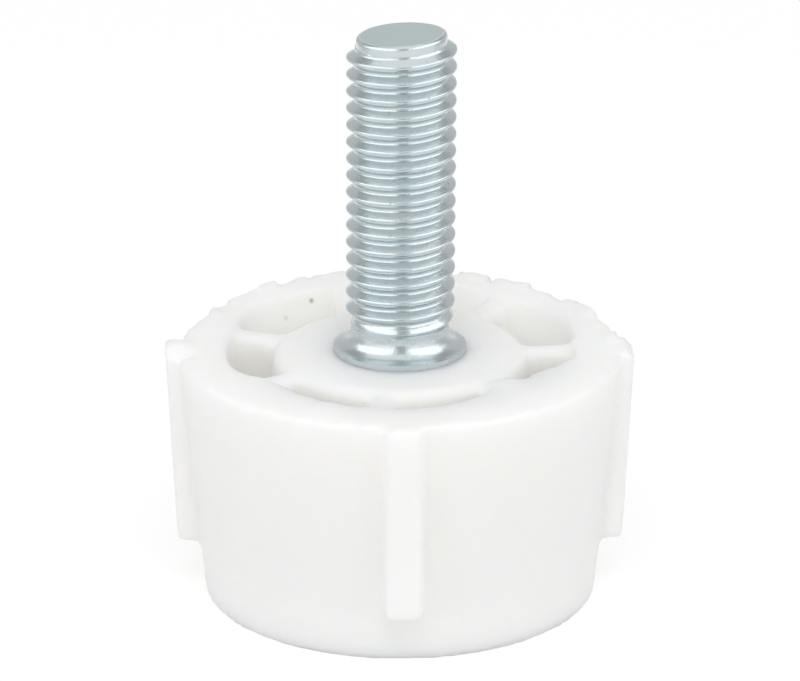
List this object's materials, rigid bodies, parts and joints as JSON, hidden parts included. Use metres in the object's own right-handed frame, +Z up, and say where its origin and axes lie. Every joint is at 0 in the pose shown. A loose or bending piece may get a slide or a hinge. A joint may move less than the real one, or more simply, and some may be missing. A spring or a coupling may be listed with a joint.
{
  "type": "adjustable appliance foot",
  "caption": "Adjustable foot for a dishwasher: white moulded cup with a webbed boss and outside grip ribs, and a zinc plated steel stud that screws into the appliance.",
  "frame": {"origin": "centre of the flat base that stands on the floor", "axes": "+Z up along the stud, -Y towards the grip rib that the picture shows in front"},
  "size_m": [0.0338, 0.0338, 0.0417],
  "materials": {
    "white_plastic": "matte moulded white",
    "zinc_steel": "blue-white zinc plated"
  },
  "bodies": {
    "root": {"foot_body": "white_plastic", "threaded_stud": "zinc_steel"}
  },
  "joints": []
}
